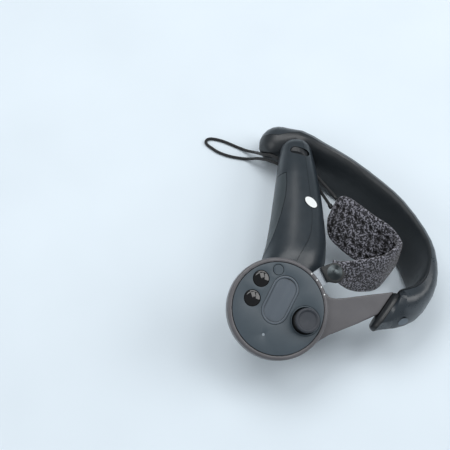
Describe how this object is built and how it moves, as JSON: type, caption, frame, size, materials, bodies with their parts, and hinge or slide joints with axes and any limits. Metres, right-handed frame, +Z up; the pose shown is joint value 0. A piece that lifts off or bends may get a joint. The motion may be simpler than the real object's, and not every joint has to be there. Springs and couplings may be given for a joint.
{
  "type": "vr motion controller",
  "caption": "Left-hand motion controller with a round thumb plate, sprung stick and buttons, trigger, sensing grip, padded knuckle strap and swept tracking ring.",
  "frame": {"origin": "middle of the footprint without the drawstring loop, on the table it lies on", "axes": "+Z up from the table; the grip runs along Y with the round head towards -Y; the strap and the tracking ring are on the +X side"},
  "size_m": [0.1445, 0.1755, 0.0579],
  "materials": {
    "frame": "fine satin",
    "charcoal": "satin",
    "plate": "fine matt",
    "white_ink": "matt",
    "light_pipe": "frosted",
    "trackpad": "soft matt",
    "gloss_black": "polished",
    "stick_rubber": "matt",
    "inner_plastic": "matt",
    "pale_plastic": "matt",
    "steel": "plain",
    "board": "satin",
    "flex": "satin",
    "trigger": "satin",
    "grip_shell": "fine satin",
    "finger_panel": "fine satin",
    "battery_wrap": "satin film",
    "motor_can": "plain",
    "label_white": "matt film",
    "lock_black": "satin",
    "tab_black": "satin",
    "rivet_black": "spun, glossy",
    "tongue_metal": "satin",
    "strap_knit": "heather knit over foam",
    "cord": "braided",
    "ring_inner": "satin",
    "ring_outer": "satin",
    "ring_cap": "semi-gloss",
    "badge": "satin",
    "sensor_black": "infrared window"
  },
  "bodies": {
    "controller": {"head_frame": "frame", "head_housing": "charcoal", "face_plate": "plate", "detent_dots": "white_ink", "status_light_pipe": "light_pipe", "trackpad_bezel": "trackpad", "trackpad_pad": "trackpad", "trackpad_force_sensor": "flex", "button_switches": "steel", "thumbstick_base": "inner_plastic", "thumbstick_bezel": "plate", "main_board": "board", "head_screws": "steel", "trigger_pin": "steel", "trigger_spring": "steel", "trigger_bracket": "charcoal", "handle_left_shell": "grip_shell", "handle_right_shell": "grip_shell", "finger_panel": "finger_panel", "grip_sensor_flex": "flex", "handle_spine": "inner_plastic", "battery": "battery_wrap", "haptic_motor": "motor_can", "handle_screws": "steel", "seal_sticker": "label_white", "usb_port": "steel", "cord_lock_body": "lock_black", "cord_lock_spring": "steel", "strap_pad": "strap_knit", "strap_cord": "cord", "cord_ferrules": "tab_black", "pull_cord": "cord", "ring_inner_shell": "ring_inner", "ring_outer_shell": "ring_outer", "ring_end_cap": "ring_cap", "ring_badge": "badge", "ring_sensor_flex": "flex", "tracking_sensors": "sensor_black"},
    "button_a": {"button_a": "gloss_black"},
    "button_b": {"button_b": "gloss_black"},
    "system_button": {"system_button": "plate"},
    "stick_carriage": {"thumbstick_carriage": "inner_plastic"},
    "stick_yoke": {"thumbstick_yoke": "pale_plastic"},
    "thumbstick": {"thumbstick_cap": "stick_rubber", "thumbstick_shaft": "inner_plastic", "thumbstick_skirt": "inner_plastic"},
    "trigger": {"trigger": "trigger"},
    "anchor": {"strap_anchor": "tab_black", "anchor_tongue": "tongue_metal", "strap_rivet": "rivet_black"},
    "cord_lock_button": {"cord_lock_button": "lock_black"}
  },
  "joints": [
    {"name": "button_a_press", "type": "slide", "parent": "controller", "child": "button_a", "axis": [-0.1561, 0.3256, -0.9326], "range_m": [0, 0.0008], "stiffness_N_per_m": 900, "springref_m": -0.0005},
    {"name": "button_b_press", "type": "slide", "parent": "controller", "child": "button_b", "axis": [-0.1561, 0.3256, -0.9326], "range_m": [0, 0.0008], "stiffness_N_per_m": 900, "springref_m": -0.0005},
    {"name": "system_button_press", "type": "slide", "parent": "controller", "child": "system_button", "axis": [-0.1561, 0.3256, -0.9326], "range_m": [0, 0.0005], "stiffness_N_per_m": 1200, "springref_m": -0.0004},
    {"name": "stick_click", "type": "slide", "parent": "controller", "child": "stick_carriage", "axis": [-0.1561, 0.3256, -0.9326], "range_m": [0, 0.0005], "stiffness_N_per_m": 3000, "springref_m": -0.0008},
    {"name": "stick_tilt_x", "type": "hinge", "parent": "stick_carriage", "child": "stick_yoke", "pos_m": [-0.01969, -0.06303, 0.03677], "axis": [0.9863, 0, -0.165], "range_deg": [-15, 15], "stiffness_Nm_per_rad": 0.03},
    {"name": "stick_tilt_y", "type": "hinge", "parent": "stick_yoke", "child": "thumbstick", "pos_m": [-0.01969, -0.06303, 0.03677], "axis": [0.0537, 0.9455, 0.3211], "range_deg": [-15, 15], "stiffness_Nm_per_rad": 0.03},
    {"name": "trigger_pull", "type": "hinge", "parent": "controller", "child": "trigger", "pos_m": [-0.0326, -0.07168, 0.02144], "axis": [0.9863, 0, -0.165], "range_deg": [0, 13], "stiffness_Nm_per_rad": 0.1, "springref_deg": -11.46},
    {"name": "strap_anchor_turn", "type": "hinge", "parent": "controller", "child": "anchor", "pos_m": [-0.03432, -0.05928, 0.0475], "axis": [0.1561, -0.3256, 0.9326], "range_deg": [-19.6, 9.8]},
    {"name": "cord_lock_press", "type": "slide", "parent": "controller", "child": "cord_lock_button", "axis": [0, 0, -1], "range_m": [0, 0.0015], "stiffness_N_per_m": 1500, "springref_m": -0.0015, "deforming": ["cord_lock_spring"]}
  ]
}
